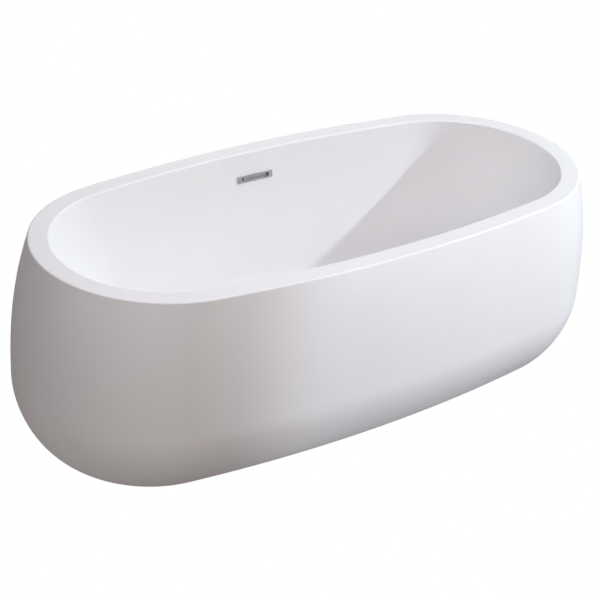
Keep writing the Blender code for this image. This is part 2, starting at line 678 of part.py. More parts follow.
# ---- click-clack plug ---------------------------------------------------------------------------
def plug():
    """Plug cap, its seal, its stem and the spring that holds it open."""
    under = FLANGE_TOP + PLUG_LIFT + SEAL_HEIGHT + CLEAR
    cap = [(0.0030, under), (0.0325, under), (0.0335, under + 0.0012), (0.0325, under + 0.0035),
           (0.0240, under + 0.0048), (0.0100, under + 0.0053)]
    finish(turned("plug_cap", cap, False, steps=32), CHROME, 0.1, 1.0)
    ring("plug_seal", 0.0245, 0.0295, under - SEAL_HEIGHT, under - CLEAR, BLACK_RUBBER, 0.7)
    stem = [(STEM_RADIUS, 0.0910), (STEM_RADIUS, under - CLEAR)]
    finish(turned("plug_stem", stem, False, steps=12), CHROME, 0.3, 1.0)
    plug_spring(STRAINER_TOP + CLEAR, under - CLEAR)


def plug_spring(low, high):
    """Round-wire coil with its ends inside the given heights."""
    steps = 12
    count = SPRING_TURNS * steps
    rise = high - low - 2 * SPRING_WIRE
    rows = []
    for i in range(count + 1):
        angle = 2 * math.pi * i / steps
        outward = Vector((math.cos(angle), math.sin(angle), 0))
        centre = outward * SPRING_RADIUS + Vector((0, 0, low + SPRING_WIRE + rise * i / count))
        rows.append([tuple(centre + outward * a + Vector((0, 0, b))) for a, b, _ in round_row(SPRING_WIRE, 0, 5)])
    finish(loft("plug_spring", rows, False), ZINC, 0.3, 0.9)


def build():
    for old in list(bpy.data.objects):
        bpy.data.objects.remove(old, do_unlink=True)
    inner_basin()
    outer_skirt()
    floor_board()
    long_rails()
    cross_rails()
    frame_fasteners()
    levelling_feet()
    overflow_frame()
    overflow_plate()
    overflow_gasket()
    overflow_housing()
    overflow_screws()
    overflow_pipe()
    pipe_nuts()
    waste_flange()
    waste_seals()
    waste_lock_nut()
    strainer_disc()
    waste_tee()
    waste_outlet()
    plug()


build()
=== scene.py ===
"""The freestanding bathtub's finished surfaces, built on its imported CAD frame.

Every CAD node is replaced by a finer piece of the same size in the same place. Units are metres,
+Z is up, X runs along the tub and +Y points to the long side with the overflow.
"""
import json
import math

import bmesh
import bpy
from mathutils import Matrix, Vector


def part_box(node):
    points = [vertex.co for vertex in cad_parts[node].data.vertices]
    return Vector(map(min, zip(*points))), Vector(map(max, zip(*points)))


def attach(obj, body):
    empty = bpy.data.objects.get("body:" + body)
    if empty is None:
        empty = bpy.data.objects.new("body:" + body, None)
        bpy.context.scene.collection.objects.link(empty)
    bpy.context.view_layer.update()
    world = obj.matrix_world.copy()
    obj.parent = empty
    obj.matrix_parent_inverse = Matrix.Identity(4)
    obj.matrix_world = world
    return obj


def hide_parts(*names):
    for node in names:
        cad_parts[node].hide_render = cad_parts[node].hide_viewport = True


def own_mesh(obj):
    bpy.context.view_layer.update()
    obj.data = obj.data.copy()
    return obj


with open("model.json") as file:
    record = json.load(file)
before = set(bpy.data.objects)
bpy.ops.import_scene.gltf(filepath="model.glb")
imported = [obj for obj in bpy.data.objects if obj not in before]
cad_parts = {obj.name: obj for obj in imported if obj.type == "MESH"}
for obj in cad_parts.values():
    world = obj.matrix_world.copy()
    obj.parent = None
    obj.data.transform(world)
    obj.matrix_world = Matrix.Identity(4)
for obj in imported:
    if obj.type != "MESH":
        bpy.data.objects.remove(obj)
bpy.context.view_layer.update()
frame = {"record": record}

# ---- what each CAD node rides on ------------------------------------------------------------------
BODY = {node: body for body, nodes in frame["record"]["behaviour"]["bodies"].items() for node in nodes}

# ---- driving dimensions ---------------------------------------------------------------------------
BULGE_END, BULGE_SIDE = 0.054, 0.015      # outer wall past the rim outline, at its widest
BULGE_LEVEL = 0.357                       # height of the widest section, as a share of the wall
UPPER_POWER, LOWER_POWER = 2.46, 1.75     # shape of the outer wall above and below that section
BASE_INSET_END, BASE_INSET_SIDE = 0.082, 0.117
SIDE_BOW = 0.035                          # how far the long sides bow out past straight
RIM_WIDTH = 0.051
EDGE = 0.004                              # rounding of both rim edges
SKIN = 0.007
LIP_DROP, LIP_SKIN = 0.016, 0.004
FOOT_FLANGE = 0.025
CLEAR = 0.0003
END_SLOPE, SIDE_SLOPE = math.atan(0.35), math.atan(0.15)
FLOOR_FILLET = 0.100
FLOOR_FALL, SEAT_DEPTH = 0.005, 0.003
SEAT_RADIUS, WASTE_HOLE = 0.038, 0.0265

skirt_low, skirt_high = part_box("outer_skirt")
basin_low, basin_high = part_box("inner_basin")
HEIGHT = basin_high.z
FLOOR_GAP = skirt_low.z
UNDERSIDE_Z = basin_low.z
FLOOR_Z = UNDERSIDE_Z + SKIN + FLOOR_FALL
RIM_HALF_LENGTH = skirt_high.x - BULGE_END
RIM_HALF_WIDTH = skirt_high.y - BULGE_SIDE

OVERFLOW_Z = 0.504
OVERFLOW_Y = RIM_HALF_WIDTH - RIM_WIDTH - math.tan(SIDE_SLOPE) * (HEIGHT - OVERFLOW_Z)
OVERFLOW_POINT = Vector((0, OVERFLOW_Y, OVERFLOW_Z))
OVERFLOW_TILT = (-SIDE_SLOPE, 0, 0)       # the overflow's own -Y looks square out of the wall into the tub
COVER_OUTER = (0.056, 0.0092)             # half length and half height
COVER_INNER = (0.043, 0.0052)
COVER_BACK, COVER_FRONT = -0.0012, -0.0052
HOUSING_FRONT, HOUSING_BACK = SKIN + 0.0035, SKIN + 0.0295
COVER_SCREW_X, COVER_SCREW_Z = 0.028, 0.0015
PLATE_HALF_LENGTH, PLATE_LOW = 0.037, -0.0010
WALL_SLOT = (0.048, 0.0045, 0.002)        # half length, half height and corner of the slot in the wall
HOUSING_HALF, HOUSING_WALL = (0.058, 0.013), 0.002
OUTLET_RADIUS, OUTLET_BORE = 0.012, 0.010
OUTLET_LOW, OUTLET_HIGH = -0.034, -0.011  # from the spigot's point
PIPE_WALL, PIPE_SOCKET = 0.0025, 0.0168   # the bores that take the pipe are a little wider than it
TAIL_RADIUS, TAIL_BORE, TAIL_PITCH, LOCK_NUT_FLATS = 0.0235, 0.0190, 0.002, 0.076
FLANGE_RADIUS, FLANGE_THICK = 0.0355, 0.0025
TEE_AXIS_Z = 0.063
INLET_RADIUS, INLET_START, INLET_END = 0.0195, 0.0215, 0.0620
SPIGOT = OVERFLOW_POINT + Vector((0, 0.0245, 0))      # axis of the housing's upright outlet

END_STEPS, SIDE_STEPS = 26, 18            # straight pieces in a quarter of the outline
ROW_STEPS = 4 * (END_STEPS + SIDE_STEPS)


# ---- materials ------------------------------------------------------------------------------------
class Paint:
    """A Principled material whose textures are measured in metres on the piece."""

    def __init__(self, name, colour, roughness, metallic=0.0):
        self.material = bpy.data.materials.new(name)
        self.material.use_nodes = True
        self.tree = self.material.node_tree
        self.shader = self.tree.nodes["Principled BSDF"]
        self.shader.inputs["Base Color"].default_value = (*colour, 1.0)
        self.shader.inputs["Roughness"].default_value = roughness
        self.shader.inputs["Metallic"].default_value = metallic
        self.place = self.tree.nodes.new("ShaderNodeTexCoord").outputs["Object"]

    def stretch(self, x, y, z):
        """Texture space scaled along its axes, for brushed and fibrous marks."""
        node = self.tree.nodes.new("ShaderNodeMapping")
        node.inputs["Scale"].default_value = (x, y, z)
        self.tree.links.new(self.place, node.inputs["Vector"])
        return node.outputs["Vector"]

    def noise(self, scale, detail=2.0, space=None):
        node = self.tree.nodes.new("ShaderNodeTexNoise")
        node.inputs["Scale"].default_value = scale
        node.inputs["Detail"].default_value = detail
        self.tree.links.new(space or self.place, node.inputs["Vector"])
        return node.outputs["Fac"]

    def cells(self, scale, space=None):
        node = self.tree.nodes.new("ShaderNodeTexVoronoi")
        node.inputs["Scale"].default_value = scale
        self.tree.links.new(space or self.place, node.inputs["Vector"])
        return node.outputs["Color"]

    def ramp(self, factor, *stops):
        """Colours along a factor, from (position, colour) stops."""
        node = self.tree.nodes.new("ShaderNodeValToRGB")
        while len(node.color_ramp.elements) < len(stops):
            node.color_ramp.elements.new(0.5)
        for element, (position, colour) in zip(node.color_ramp.elements, stops):
            element.position = position
            element.color = (*colour, 1.0)
        self.tree.links.new(factor, node.inputs["Fac"])
        return node.outputs["Color"]

    def spread(self, factor, low, high):
        """A factor from 0 to 1 turned into a range."""
        node = self.tree.nodes.new("ShaderNodeMapRange")
        node.inputs["To Min"].default_value = low
        node.inputs["To Max"].default_value = high
        self.tree.links.new(factor, node.inputs["Value"])
        return node.outputs["Result"]

    def colour(self, socket):
        self.tree.links.new(socket, self.shader.inputs["Base Color"])
        return self

    def roughness(self, socket):
        self.tree.links.new(socket, self.shader.inputs["Roughness"])
        return self

    def bump(self, *layers):
        """Stack (height, strength, distance) layers of relief."""
        normal = None
        for height, strength, distance in layers:
            node = self.tree.nodes.new("ShaderNodeBump")
            node.inputs["Strength"].default_value = strength
            node.inputs["Distance"].default_value = distance
            self.tree.links.new(height, node.inputs["Height"])
            if normal:
                self.tree.links.new(normal, node.inputs["Normal"])
            normal = node.outputs["Normal"]
        self.tree.links.new(normal, self.shader.inputs["Normal"])
        return self


def satin_acrylic():
    """Cast white with a satin skin: barely mottled, with a soft orange peel."""
    paint = Paint("satin_acrylic", (0.86, 0.86, 0.86), 0.42)
    paint.colour(paint.ramp(paint.noise(7, 3), (0.3, (0.852, 0.851, 0.850)), (0.7, (0.868, 0.868, 0.869))))
    paint.roughness(paint.spread(paint.noise(18, 4), 0.38, 0.46))
    return paint.bump((paint.noise(95, 2), 0.10, 0.0006), (paint.noise(900, 2), 0.05, 0.0002)).material


def fibreglass():
    """Chopped strands in resin, rolled onto the back of the shells."""
    paint = Paint("fibreglass", (0.62, 0.60, 0.50), 0.55)
    strands = paint.noise(60, 6, paint.stretch(1.0, 7.0, 3.0))
    cross = paint.noise(60, 6, paint.stretch(7.0, 1.0, 3.0))
    paint.colour(paint.ramp(strands, (0.35, (0.50, 0.47, 0.36)), (0.55, (0.66, 0.64, 0.55)),
                            (0.7, (0.76, 0.75, 0.68))))
    paint.roughness(paint.spread(cross, 0.35, 0.75))
    return paint.bump((strands, 0.5, 0.0012), (cross, 0.5, 0.0012)).material


def particle_board():
    """Pressed wood flakes with a fine dust between them."""
    paint = Paint("particle_board", (0.52, 0.38, 0.24), 0.8)
    flakes = paint.cells(190, paint.stretch(1.0, 0.55, 1.4))
    paint.colour(paint.ramp(flakes, (0.0, (0.30, 0.19, 0.10)), (0.35, (0.47, 0.33, 0.19)),
                            (0.7, (0.60, 0.45, 0.28)), (1.0, (0.70, 0.56, 0.38))))
    paint.roughness(paint.spread(paint.noise(300, 3), 0.7, 0.92))
    return paint.bump((paint.noise(420, 4), 0.35, 0.0005)).material


def zinc_steel():
    """Galvanised steel: crystal spangle and a dull bloom."""
    paint = Paint("zinc_steel", (0.56, 0.58, 0.60), 0.4, 1.0)
    spangle = paint.cells(130)
    paint.colour(paint.ramp(spangle, (0.0, (0.46, 0.48, 0.50)), (1.0, (0.66, 0.68, 0.70))))
    paint.roughness(paint.spread(paint.noise(55, 5), 0.28, 0.55))
    return paint.bump((paint.noise(700, 3), 0.12, 0.0002)).material


def brushed_chrome():
    """Satin chrome of the overflow cover, brushed along its length."""
    paint = Paint("brushed_chrome", (0.58, 0.58, 0.60), 0.3, 1.0)
    lines = paint.noise(240, 3, paint.stretch(0.05, 3.0, 9.0))
    paint.colour(paint.ramp(lines, (0.3, (0.50, 0.50, 0.52)), (0.7, (0.66, 0.66, 0.69))))
    paint.roughness(paint.spread(lines, 0.24, 0.42))
    return paint.bump((lines, 0.10, 0.0002)).material


def polished_chrome():
    """Mirror chrome with faint cleaning scratches and dried water marks."""
    paint = Paint("polished_chrome", (0.74, 0.75, 0.77), 0.08, 1.0)
    marks = paint.noise(120, 5)
    paint.colour(paint.ramp(marks, (0.35, (0.69, 0.70, 0.72)), (0.65, (0.77, 0.78, 0.80))))
    paint.roughness(paint.spread(marks, 0.05, 0.20))
    return paint.bump((paint.noise(260, 4, paint.stretch(1.0, 14.0, 1.0)), 0.03, 0.0001)).material


def black_rubber():
    """Moulded rubber with a dusty bloom."""
    paint = Paint("black_rubber", (0.03, 0.03, 0.03), 0.75)
    paint.colour(paint.ramp(paint.noise(160, 5), (0.3, (0.018, 0.018, 0.019)), (0.75, (0.050, 0.049, 0.048))))
    paint.roughness(paint.spread(paint.noise(90, 3), 0.62, 0.88))
    return paint.bump((paint.noise(1200, 2), 0.25, 0.0002)).material


def grey_plastic():
    """Injection-moulded fittings with a spark-eroded grain."""
    paint = Paint("grey_plastic", (0.30, 0.31, 0.33), 0.45)
    paint.colour(paint.ramp(paint.noise(40, 3), (0.3, (0.275, 0.285, 0.305)), (0.7, (0.325, 0.335, 0.350))))
    paint.roughness(paint.spread(paint.noise(70, 4), 0.36, 0.56))
    return paint.bump((paint.noise(1500, 2), 0.18, 0.0002)).material


WHITE = satin_acrylic()
GLASS = fibreglass()
BOARD = particle_board()
ZINC = zinc_steel()
SATIN_CHROME = brushed_chrome()
CHROME = polished_chrome()
RUBBER = black_rubber()
PLASTIC = grey_plastic()


# ---- mesh tools -----------------------------------------------------------------------------------
SHARP = 32                                # degrees between faces, from which an edge looks sharp


def new_piece(name, mesh, *materials):
    """Turn a bmesh into a smooth-shaded object with its materials."""
    bmesh.ops.recalc_face_normals(mesh, faces=mesh.faces)
    data = bpy.data.meshes.new(name)
    mesh.to_mesh(data)
    mesh.free()
    data.shade_smooth()
    data.set_sharp_from_angle(angle=math.radians(SHARP))
    for material in materials:
        data.materials.append(material)
    piece = bpy.data.objects.new(name, data)
    bpy.context.scene.collection.objects.link(piece)
    return piece


def loft(name, rows, ring, *materials, back_from=None):
    """Skin equal closed rows. Faces from row back_from on take the second material."""
    mesh = bmesh.new()
    loops = [[mesh.verts.new(point) for point in row] for row in rows]
    pairs = list(zip(loops, loops[1:]))
    if ring:
        pairs.append((loops[-1], loops[0]))
    else:
        mesh.faces.new(reversed(loops[0]))
        mesh.faces.new(loops[-1])
    for number, (lower, upper) in enumerate(pairs):
        for i in range(len(lower)):
            j = (i + 1) % len(lower)
            face = mesh.faces.new((lower[i], lower[j], upper[j], upper[i]))
            if back_from is not None and number >= back_from:
                face.material_index = 1
    return new_piece(name, mesh, *materials)


def stand_for(piece, node, body=None):
    """Let a piece take a CAD node's place, name and body, unless another body is named."""
    piece.name = node + "_surface"
    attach(piece, body or BODY[node])
    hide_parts(node)
    return piece


def moved(piece, location, rotation=(0, 0, 0)):
    """Move a piece's mesh, and leave the object at the origin."""
    turn = Matrix.Rotation(rotation[2], 4, "Z") @ Matrix.Rotation(rotation[1], 4, "Y")
    turn = turn @ Matrix.Rotation(rotation[0], 4, "X")
    piece.data.transform(Matrix.Translation(Vector(location)) @ turn)
    return piece


def combine(piece, other, operation):
    """Cut another shape from a piece, or join it on, and drop that shape."""
    modifier = piece.modifiers.new("shape", "BOOLEAN")
    modifier.operation = operation
    modifier.solver = "EXACT"
    modifier.object = other
    made = bpy.data.meshes.new_from_object(piece.evaluated_get(bpy.context.evaluated_depsgraph_get()))
    piece.modifiers.clear()
    piece.data = made
    bpy.data.objects.remove(other, do_unlink=True)
    made.shade_smooth()
    made.set_sharp_from_angle(angle=math.radians(SHARP))
    return piece


def circle(radius, z, steps, trim=None):
    """Points round the Z axis. A trim changes the radius with the angle."""
    row = []
    for i in range(steps):
        angle = 2 * math.pi * i / steps
        r = trim(radius, angle) if trim else radius
        row.append((r * math.cos(angle), r * math.sin(angle), z))
    return row


def turned(name, profile, ring, material, steps, trim=None):
    """A piece turned about Z from (radius, z) points."""
    return loft(name, [circle(radius, z, steps, trim) for radius, z in profile], ring, material)


def tool(radius, low, high, steps=48):
    """A plain cylinder on Z, to cut with or to join on."""
    return loft("tool", [circle(radius, low, steps), circle(radius, high, steps)], False)


def along_y(piece, location=(0, 0, 0)):
    """Lay a piece that was turned about Z along Y, with its top towards +Y."""
    return moved(piece, location, (-math.pi / 2, 0, 0))


def arc(radius, centre, start, stop, steps):
    """(x, y) points on an arc, in degrees."""
    points = []
    for k in range(steps + 1):
        angle = math.radians(start + (stop - start) * k / steps)
        points.append((centre[0] + radius * math.cos(angle), centre[1] + radius * math.sin(angle)))
    return points


def soften(points, radius, closed=True, steps=3):
    """Round the corners of a flat outline. An open outline keeps its two ends."""
    result = []
    count = len(points)
    for i, (x, y) in enumerate(points):
        if not closed and i in (0, count - 1):
            result.append((x, y))
            continue
        corner = Vector((x, y))
        before = Vector(points[i - 1]) - corner
        after = Vector(points[(i + 1) % count]) - corner
        start = corner + before * min(0.4, radius / before.length)
        end = corner + after * min(0.4, radius / after.length)
        for k in range(steps + 1):
            t = k / steps
            point = start * (1 - t) ** 2 + corner * 2 * t * (1 - t) + end * t * t
            result.append((point.x, point.y))
    return result


def rectangle(half_x, half_y, radius=0.0, steps=4):
    """(x, y) points of a rectangle with round corners."""
    x, y = half_x - radius, half_y - radius
    points = []
    for centre, start in (((x, y), 0), ((-x, y), 90), ((-x, -y), 180), ((x, -y), 270)):
        points += arc(radius, centre, start, start + 90, steps)
    return points


def steps_between(first, last, count):
    """Evenly spaced values, both ends included."""
    return [first + (last - first) * k / count for k in range(count + 1)]


def hexagon(flats):
    """A trim that cuts a round section down to a hexagon."""
    def trim(radius, angle):
        return min(radius, flats / 2 / math.cos(angle % (math.pi / 3) - math.pi / 6))
    return trim


def grip(lobes, depth, from_radius):
    """A trim that cuts finger grooves into whatever lies outside a radius."""
    def trim(radius, angle):
        if radius < from_radius:
            return radius
        return radius - depth * (0.5 - 0.5 * math.cos(lobes * angle)) ** 3
    return trim


def thread(radius, depth, pitch, low, high, steps):
    """Rows of a screw thread between two heights. A negative depth is a thread inside a hole."""
    per_turn = 6
    rows = []
    for z in steps_between(low, high, max(2, round((high - low) / pitch * per_turn))):
        fade = max(0.0, min(1.0, (z - low) / pitch, (high - z) / pitch))
        row = []
        for i in range(steps):
            turn = i / steps
            wave = 0.5 - 0.5 * math.cos(2 * math.pi * (z / pitch - turn))
            r = radius - depth * fade * wave
            row.append((r * math.cos(2 * math.pi * turn), r * math.sin(2 * math.pi * turn), z))
        rows.append(row)
    return rows


def hex_rows(flats, low, high, steps, high_chamfer=True):
    """Rows of a hexagon from one face to the other, with the usual 30 degree chamfers."""
    inner = flats / 2 * 0.96
    corner = flats / 2 / math.cos(math.pi / 6)
    radii = steps_between(inner, corner, 4)
    trim = hexagon(flats)
    rows = [circle(r, low + (r - inner) * math.tan(math.pi / 6), steps, trim) for r in radii]
    if high_chamfer:
        rows += [circle(r, high - (r - inner) * math.tan(math.pi / 6), steps, trim) for r in reversed(radii)]
    else:
        rows.append(circle(corner, high, steps, trim))
    return rows


def centre(node):
    """The middle of a CAD node's box."""
    low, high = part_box(node)
    return (low + high) / 2


def stand_on(piece, node, z=0.0):
    """Move a piece made round the Z axis to a CAD node's upright axis."""
    return moved(piece, (centre(node).x, centre(node).y, z))


def drill(piece, nodes, radius):
    """Clear a hole along each upright node that passes through a piece."""
    for node in nodes:
        low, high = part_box(node)
        bit = tool(radius, low.z - 0.001, high.z + 0.001, 20)
        combine(piece, stand_on(bit, node), "DIFFERENCE")


# ---- tub sections ---------------------------------------------------------------------------------
def oval(half_length, half_width, z):
    """A four-arc oval at one height: a tight arc at each end, a flat arc along each side."""
    end_radius = half_width - SIDE_BOW
    middle = half_length - end_radius
    side_radius = (middle ** 2 + half_width ** 2 - end_radius ** 2) / (2 * SIDE_BOW)
    meet = math.atan2(side_radius - half_width, middle)
    quarter = []
    for k in range(END_STEPS + 1):
        angle = meet * k / END_STEPS
        quarter.append((middle + end_radius * math.cos(angle), end_radius * math.sin(angle)))
    for k in range(1, SIDE_STEPS + 1):
        angle = meet + (math.pi / 2 - meet) * k / SIDE_STEPS
        y = side_radius * math.sin(angle) - (side_radius - half_width)
        quarter.append((side_radius * math.cos(angle), y))
    quarter[-1] = (0.0, half_width)
    row = [(x, y, z) for x, y in quarter[:-1]]
    row += [(-x, y, z) for x, y in reversed(quarter[1:])]
    row += [(-x, -y, z) for x, y in quarter[:-1]]
    row += [(x, -y, z) for x, y in reversed(quarter[1:])]
    return row


def blend_rows(first, second, share):
    """A row part of the way from one row to another."""
    return [tuple(Vector(a).lerp(Vector(b), share)) for a, b in zip(first, second)]


def outer_offset(z, bulge, inset, bottom, back=0.0):
    """How far the outer wall stands out from the rim outline at a height."""
    level = bottom + BULGE_LEVEL * (HEIGHT - bottom)
    if z >= level:
        share = (z - level) / (HEIGHT - level)
        return bulge * (1 - share ** UPPER_POWER) - back
    share = (level - z) / (level - bottom)
    widest = bulge - back
    return -inset + (widest + inset) * max(0.0, 1 - share ** LOWER_POWER) ** (1 / LOWER_POWER)


def outer_row(z, back=0.0):
    """Section of the outer wall, or of the same wall set back."""
    end = outer_offset(z, BULGE_END, BASE_INSET_END, FLOOR_GAP) - back
    side = outer_offset(z, BULGE_SIDE, BASE_INSET_SIDE, FLOOR_GAP) - back
    return oval(RIM_HALF_LENGTH + end, RIM_HALF_WIDTH + side, z)


def skirt_inside_row(z):
    """Section of the inner face of the outer wall."""
    bottom = FLOOR_GAP + SKIN
    end = outer_offset(z, BULGE_END, BASE_INSET_END + SKIN / 2, bottom, SKIN)
    side = outer_offset(z, BULGE_SIDE, BASE_INSET_SIDE + SKIN / 2, bottom, SKIN)
    return oval(RIM_HALF_LENGTH + end, RIM_HALF_WIDTH + side, z)


def wall_inset(z, slope, skin, floor, fillet):
    """How far the basin wall is inside the rim's inner edge at a height."""
    centre_z = floor + fillet
    tangent_z = centre_z - fillet * math.sin(slope)
    if z >= tangent_z:
        return math.tan(slope) * (HEIGHT - z) - skin / math.cos(slope)
    middle = math.tan(slope) * (HEIGHT - tangent_z) - skin / math.cos(slope) + fillet * math.cos(slope)
    return middle - math.sqrt(max(0.0, fillet ** 2 - (centre_z - z) ** 2))


def basin_row(z, skin=0.0, floor=FLOOR_Z, fillet=FLOOR_FILLET):
    """Section of the basin's inner face, or of its outer face when it has a skin."""
    end = wall_inset(z, END_SLOPE, skin, floor, fillet)
    side = wall_inset(z, SIDE_SLOPE, skin, floor, fillet)
    return oval(RIM_HALF_LENGTH - RIM_WIDTH - end, RIM_HALF_WIDTH - RIM_WIDTH - side, z)


def rim_row(inset, z):
    """Section at a distance in from the rim's outline."""
    return oval(RIM_HALF_LENGTH - inset, RIM_HALF_WIDTH - inset, z)


def fillet_heights(floor, fillet, count):
    """Heights on a fillet, evenly spaced in angle from a quarter turn down to its foot."""
    return [floor + fillet * (1 - math.cos(math.radians(angle))) for angle in steps_between(90, 0, count)]


# ---- shells ---------------------------------------------------------------------------------------
SUPPORT = 0.0012                          # extra row beside a rounded edge, which keeps flats flat


def inner_basin():
    """Basin, rim deck and lip: white inside and on top, fibreglass on the back."""
    edge_steps = 5
    rows = [outer_row(z) for z in steps_between(HEIGHT - LIP_DROP, HEIGHT - EDGE - SUPPORT, 2)]
    lean_end = outer_offset(HEIGHT - EDGE, BULGE_END, BASE_INSET_END, FLOOR_GAP)
    lean_side = outer_offset(HEIGHT - EDGE, BULGE_SIDE, BASE_INSET_SIDE, FLOOR_GAP)
    for degrees in steps_between(0, 90, edge_steps):
        c, s = math.cos(math.radians(degrees)), math.sin(math.radians(degrees))
        out = EDGE * (c - 1)
        length, width = RIM_HALF_LENGTH + out + lean_end * c, RIM_HALF_WIDTH + out + lean_side * c
        rows.append(oval(length, width, HEIGHT - EDGE * (1 - s)))
    for inset in (EDGE + SUPPORT, RIM_WIDTH / 2, RIM_WIDTH - EDGE - SUPPORT):
        rows.append(rim_row(inset, HEIGHT))
    for degrees in steps_between(0, 90, edge_steps):
        drop = 1 - math.cos(math.radians(degrees))
        inset = RIM_WIDTH - EDGE * (1 - math.sin(math.radians(degrees)))
        end = inset + math.tan(END_SLOPE) * EDGE * drop
        side = inset + math.tan(SIDE_SLOPE) * EDGE * drop
        rows.append(oval(RIM_HALF_LENGTH - end, RIM_HALF_WIDTH - side, HEIGHT - EDGE * drop))
    wall = [HEIGHT - EDGE - SUPPORT] + steps_between(HEIGHT - 0.02, FLOOR_Z + FLOOR_FILLET, 14)
    rows += [basin_row(z) for z in wall + fillet_heights(FLOOR_Z, FLOOR_FILLET, 22)[1:]]
    dish_z = FLOOR_Z - FLOOR_FALL
    dish = circle(SEAT_RADIUS + 0.004, dish_z, ROW_STEPS)
    foot = rows[-1]
    for share in steps_between(0.06, 0.94, 9):
        fall = share * share * (3 - 2 * share)
        rows.append([(x, y, FLOOR_Z - FLOOR_FALL * fall) for x, y, _ in blend_rows(foot, dish, share)])
    rows.append(dish)
    for degrees in steps_between(0, 90, 4):
        c, s = math.cos(math.radians(degrees)), math.sin(math.radians(degrees))
        rows.append(circle(SEAT_RADIUS + 0.003 * (1 - s), dish_z - SEAT_DEPTH * (1 - c), ROW_STEPS))
    rows.append(circle(WASTE_HOLE, dish_z - SEAT_DEPTH, ROW_STEPS))
    back = len(rows) - 1
    rows.append(circle(WASTE_HOLE, UNDERSIDE_Z, ROW_STEPS))
    outside = FLOOR_FILLET + SKIN
    heights = fillet_heights(UNDERSIDE_Z, outside, 12)[::-1]
    heights += steps_between(UNDERSIDE_Z + outside, HEIGHT - SKIN, 8)[1:]
    rows += [basin_row(z, SKIN, UNDERSIDE_Z, outside) for z in heights]
    rows.append(outer_row(HEIGHT - SKIN, LIP_SKIN))
    rows.append(outer_row(HEIGHT - LIP_DROP, LIP_SKIN))
    piece = loft("basin", rows, True, WHITE, GLASS, back_from=back)
    slot = loft("slot", [[(x, y, z) for x, z in rectangle(*WALL_SLOT)] for y in (-0.03, 0.03)], False)
    return combine(piece, moved(slot, OVERFLOW_POINT, OVERFLOW_TILT), "DIFFERENCE")


def outer_skirt():
    """Outer wall: white outside, fibreglass inside."""
    top = HEIGHT - LIP_DROP - CLEAR / 4
    level = FLOOR_GAP + BULGE_LEVEL * (HEIGHT - FLOOR_GAP)
    rows = [outer_row(z) for z in steps_between(top, level, 18)]
    for angle in steps_between(0, math.pi / 2, 28)[1:]:
        rows.append(outer_row(level - (level - FLOOR_GAP) * math.sin(angle) ** (2 / LOWER_POWER)))
    base = (RIM_HALF_LENGTH - BASE_INSET_END - FOOT_FLANGE, RIM_HALF_WIDTH - BASE_INSET_SIDE - FOOT_FLANGE)
    edge = 0.002
    back = len(rows) + 3
    low_corner = arc(edge, (edge, FLOOR_GAP + edge), -90, -180, 3)
    high_corner = arc(edge, (edge, FLOOR_GAP + SKIN - edge), 180, 90, 3)
    rows += [oval(base[0] + x, base[1] + x, z) for x, z in low_corner + high_corner]
    bottom = FLOOR_GAP + SKIN
    level = bottom + BULGE_LEVEL * (HEIGHT - bottom)
    for angle in steps_between(math.pi / 2, 0, 16):
        rows.append(skirt_inside_row(level - (level - bottom) * math.sin(angle) ** (2 / LOWER_POWER)))
    rows += [skirt_inside_row(z) for z in steps_between(level, 0.45, 8)[1:]]
    tongue = HEIGHT - SKIN - CLEAR
    rows.append(outer_row(tongue, SKIN))
    rows.append(outer_row(tongue, LIP_SKIN + CLEAR))
    rows.append(outer_row(top, LIP_SKIN + CLEAR))
    return loft("skirt", rows, True, WHITE, GLASS, back_from=back)


# ---- support frame --------------------------------------------------------------------------------
SCREW_NODES = [f"board_screw_{n}" for n in range(1, 5)]
BOLT_NODES = [f"rail_bolt_{n}" for n in range(1, 9)]
STUD_NODES = [f"foot_stud_{n}" for n in range(1, 5)]
BOLT_RADIUS, BOLT_PITCH, BOLT_FLATS, BOLT_HEAD = 0.004, 0.00125, 0.013, 0.0053   # M8
STUD_RADIUS, STUD_PITCH, STUD_NUT_FLATS = 0.006, 0.00175, 0.019                  # M12
SCREW_RADIUS, SCREW_PITCH, SCREW_FLATS, SCREW_HEAD = 0.002, 0.0018, 0.008, 0.003
STUD_BORE = STUD_RADIUS + CLEAR
RAIL_WALL, RAIL_CORNER = 0.0015, 0.003


def floor_board():
    """Board with sawn, slightly broken edges and a hole round the waste."""
    low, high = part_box("floor_board")
    hole, edge = 0.075, 0.0015
    outside = arc(edge, (-edge, low.z + edge), -90, 0, 3) + arc(edge, (-edge, high.z - edge), 0, 90, 3)
    rows = [oval(high.x + x, high.y + x, z) for x, z in outside]
    rows += [circle(hole - x, z, ROW_STEPS) for x, z in reversed(outside)]
    piece = loft("board", rows, True, BOARD)
    drill(piece, SCREW_NODES, SCREW_RADIUS + CLEAR)
    return piece


def rail(node, along_x):
    """Square tube with rolled corners, drilled for whatever passes through it."""
    low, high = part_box(node)
    middle = centre(node)
    half = (high.z - low.z) / 2
    edge = 0.0003
    reach = (high.x - low.x) / 2 if along_x else (high.y - low.y) / 2
    outline = [(half, -reach), (half, reach), (half - RAIL_WALL, reach), (half - RAIL_WALL, -reach)]
    rows = []
    for size, end in soften(outline, edge, steps=2):
        row = rectangle(size, size, max(0.0012, RAIL_CORNER - (half - size)), 5)
        rows.append([(end, a, b) if along_x else (a, end, b) for a, b in row])
    piece = moved(loft(node, rows, True, ZINC), middle)
    through = [n for n in SCREW_NODES + BOLT_NODES + STUD_NODES
               if low.x < centre(n).x < high.x and low.y < centre(n).y < high.y]
    for nodes, radius in ((SCREW_NODES, SCREW_RADIUS), (BOLT_NODES, BOLT_RADIUS), (STUD_NODES, STUD_RADIUS)):
        drill(piece, [n for n in through if n in nodes], radius + CLEAR)
    return piece


